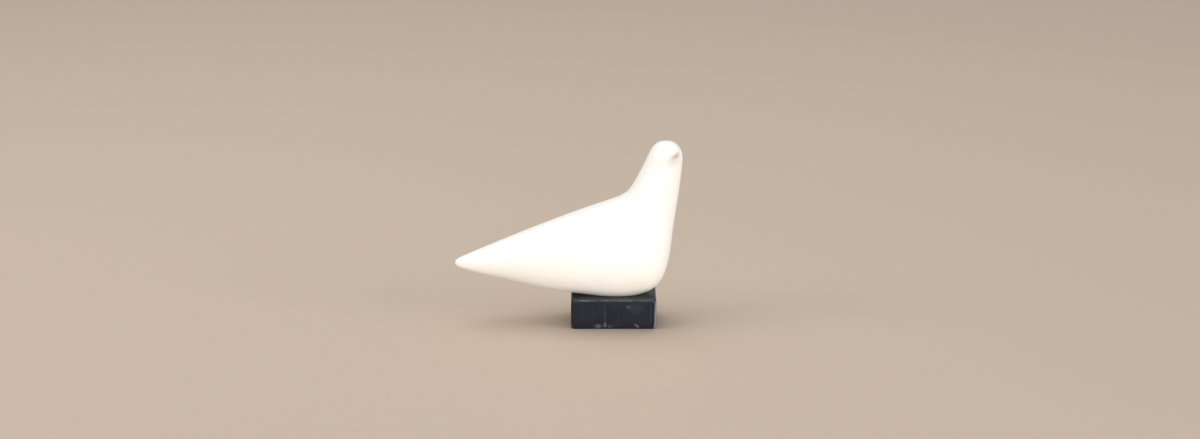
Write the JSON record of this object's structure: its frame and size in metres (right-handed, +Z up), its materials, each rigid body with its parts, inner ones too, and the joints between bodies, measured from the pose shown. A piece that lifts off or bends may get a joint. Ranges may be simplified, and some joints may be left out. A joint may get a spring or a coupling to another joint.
{
  "type": "dove sculpture",
  "caption": "Simplified standing dove in smooth white ceramic, with upright neck, small pinched beak and long pointed tail, resting on a low black stone block.",
  "frame": {"origin": "middle of the block's underside, on the surface that the sculpture stands on", "axes": "+X towards the dove's head, +Z up, +Y to the dove's left side"},
  "size_m": [0.2537, 0.089, 0.2075],
  "materials": {
    "dove_ceramic": "smooth satin white with a faint warm cast, a little brown patina in the creases beside the beak",
    "black_stone": "honed near-black stone, edges eased and worn pale grey, light scuffs on the faces"
  },
  "bodies": {
    "root": {"dove": "dove_ceramic", "base_block": "black_stone"}
  },
  "joints": []
}
